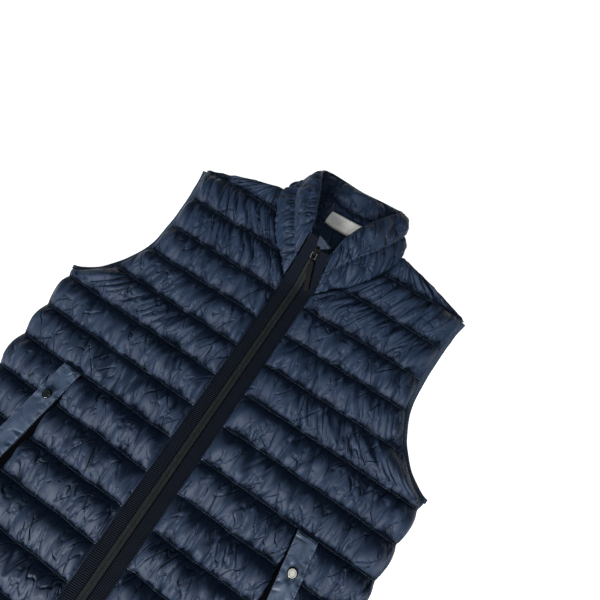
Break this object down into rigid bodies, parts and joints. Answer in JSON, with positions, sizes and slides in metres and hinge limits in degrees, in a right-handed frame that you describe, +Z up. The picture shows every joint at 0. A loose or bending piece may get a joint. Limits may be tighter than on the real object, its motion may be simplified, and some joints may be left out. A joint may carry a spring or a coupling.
{
  "type": "quilted vest",
  "caption": "Sleeveless quilted vest laid flat on its back, zip closed and collar up, with slanted snap pockets and bound armholes and hem.",
  "frame": {"origin": "middle of the vest's footprint on the surface that it lies on", "axes": "+Y runs from the hem to the collar, +Z up from the surface, +X towards the wearer's left"},
  "size_m": [0.533, 0.735, 0.0543],
  "materials": {
    "shell": "shiny navy down-proof nylon, puckered along its stitch rows",
    "binding": "navy stretch binding with a soft satin face",
    "satin": "lighter blue satin weave",
    "zip_tape": "black woven tape with two olive guide threads",
    "zip_coil": "black nylon coil",
    "steel": "satin nickel plate",
    "pull_rubber": "ribbed black rubber",
    "label": "plain off-white woven label"
  },
  "bodies": {
    "vest": {"back_panel": "shell", "front_left": "shell", "front_right": "shell", "collar": "shell", "armhole_binding_front_left": "binding", "armhole_binding_front_right": "binding", "armhole_binding_back_left": "binding", "armhole_binding_back_right": "binding", "hem_binding_front_left": "binding", "hem_binding_front_right": "binding", "hem_binding_back": "binding", "pocket_welt_left": "satin", "pocket_welt_right": "satin", "snap_left": "steel", "snap_right": "steel", "zip_tape_left": "zip_tape", "zip_tape_right": "zip_tape", "zip_chain": "zip_coil", "zip_slider": "steel", "zip_garage": "satin", "zip_box": "zip_coil", "neck_label": "label"},
    "pull": {"pull_ring": "steel", "pull_tab": "pull_rubber"}
  },
  "joints": [
    {"name": "pull_hinge", "type": "hinge", "parent": "vest", "child": "pull", "pos_m": [0, 0.23488, 0.04498], "axis": [-1, 0, 0], "range_deg": [0, 130]}
  ]
}
